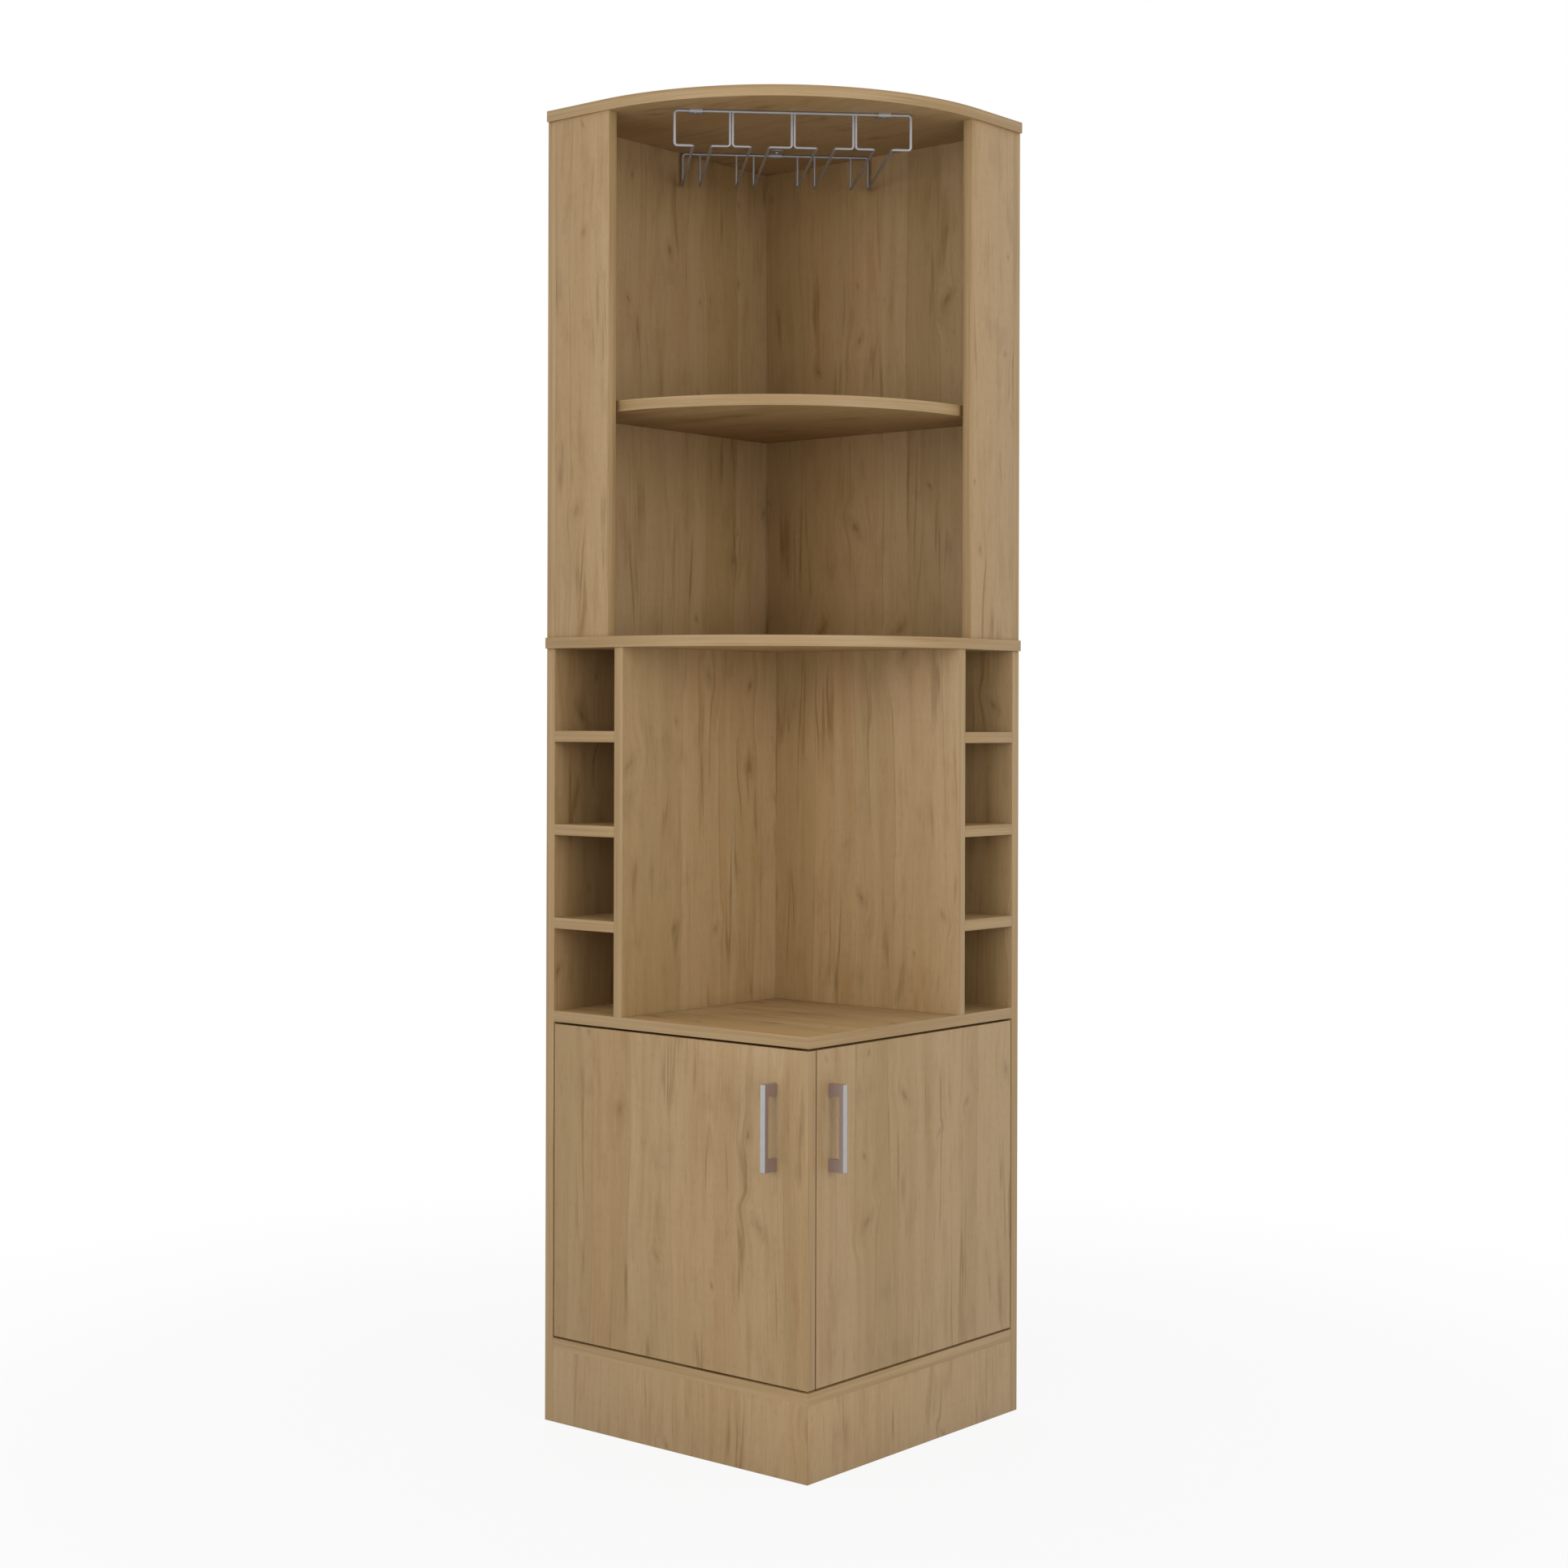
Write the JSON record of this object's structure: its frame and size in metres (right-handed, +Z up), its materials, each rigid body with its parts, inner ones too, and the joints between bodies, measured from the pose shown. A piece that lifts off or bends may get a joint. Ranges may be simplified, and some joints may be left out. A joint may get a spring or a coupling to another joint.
{
  "type": "corner bar cabinet",
  "caption": "Tall corner bar cabinet with a hinged-door cupboard, side bottle racks, an open display with a shelf, and a wire stemware rack under the top.",
  "frame": {"origin": "on the floor, under the middle of the outline with the handles", "axes": "+Z up; the left wall panel faces -X, the right wall panel faces +Y; the fronts face -Y and +X and meet at the corner (+X, -Y)"},
  "size_m": [0.489, 0.489, 1.8],
  "materials": {
    "board": "light oak melamine, satin",
    "dowel_wood": "plain beech",
    "handle_metal": "satin",
    "rack_wire": "satin nickel plate",
    "hinge_steel": "nickel plate",
    "screw_steel": "zinc plate"
  },
  "bodies": {
    "carcass": {"lower_left_side_panel": "board", "lower_right_side_panel": "board", "upper_left_side_panel": "board", "upper_right_side_panel": "board", "bottom_board": "board", "left_plinth_board": "board", "right_plinth_board": "board", "worktop": "board", "mid_plate": "board", "top_plate": "board", "upper_shelf": "board", "left_stile": "board", "right_stile": "board", "left_rack_divider": "board", "right_rack_divider": "board", "left_rack_shelf_1": "board", "left_rack_shelf_2": "board", "left_rack_shelf_3": "board", "right_rack_shelf_1": "board", "right_rack_shelf_2": "board", "right_rack_shelf_3": "board", "left_hinge_arms": "hinge_steel", "left_hinge_bases": "hinge_steel", "left_hinge_base_screws": "screw_steel", "right_hinge_arms": "hinge_steel", "right_hinge_bases": "hinge_steel", "right_hinge_base_screws": "screw_steel", "stemware_rack": "rack_wire", "rack_clips": "rack_wire", "rack_clip_screws": "screw_steel", "connecting_screws": "screw_steel", "wooden_dowels": "dowel_wood"},
    "left_door": {"left_door": "board", "left_handle": "handle_metal", "left_handle_screws": "screw_steel", "left_hinge_cups": "hinge_steel", "left_hinge_cup_screws": "screw_steel", "left_hinge_pins": "hinge_steel"},
    "right_door": {"right_door": "board", "right_handle": "handle_metal", "right_handle_screws": "screw_steel", "right_hinge_cups": "hinge_steel", "right_hinge_cup_screws": "screw_steel", "right_hinge_pins": "hinge_steel"}
  },
  "joints": [
    {"name": "left_door_swing", "type": "hinge", "parent": "carcass", "child": "left_door", "pos_m": [-0.2135, -0.2136, 0.332], "axis": [0, 0, -1], "range_deg": [0, 110]},
    {"name": "right_door_swing", "type": "hinge", "parent": "carcass", "child": "right_door", "pos_m": [0.2136, 0.2135, 0.332], "axis": [0, 0, 1], "range_deg": [0, 110]}
  ]
}
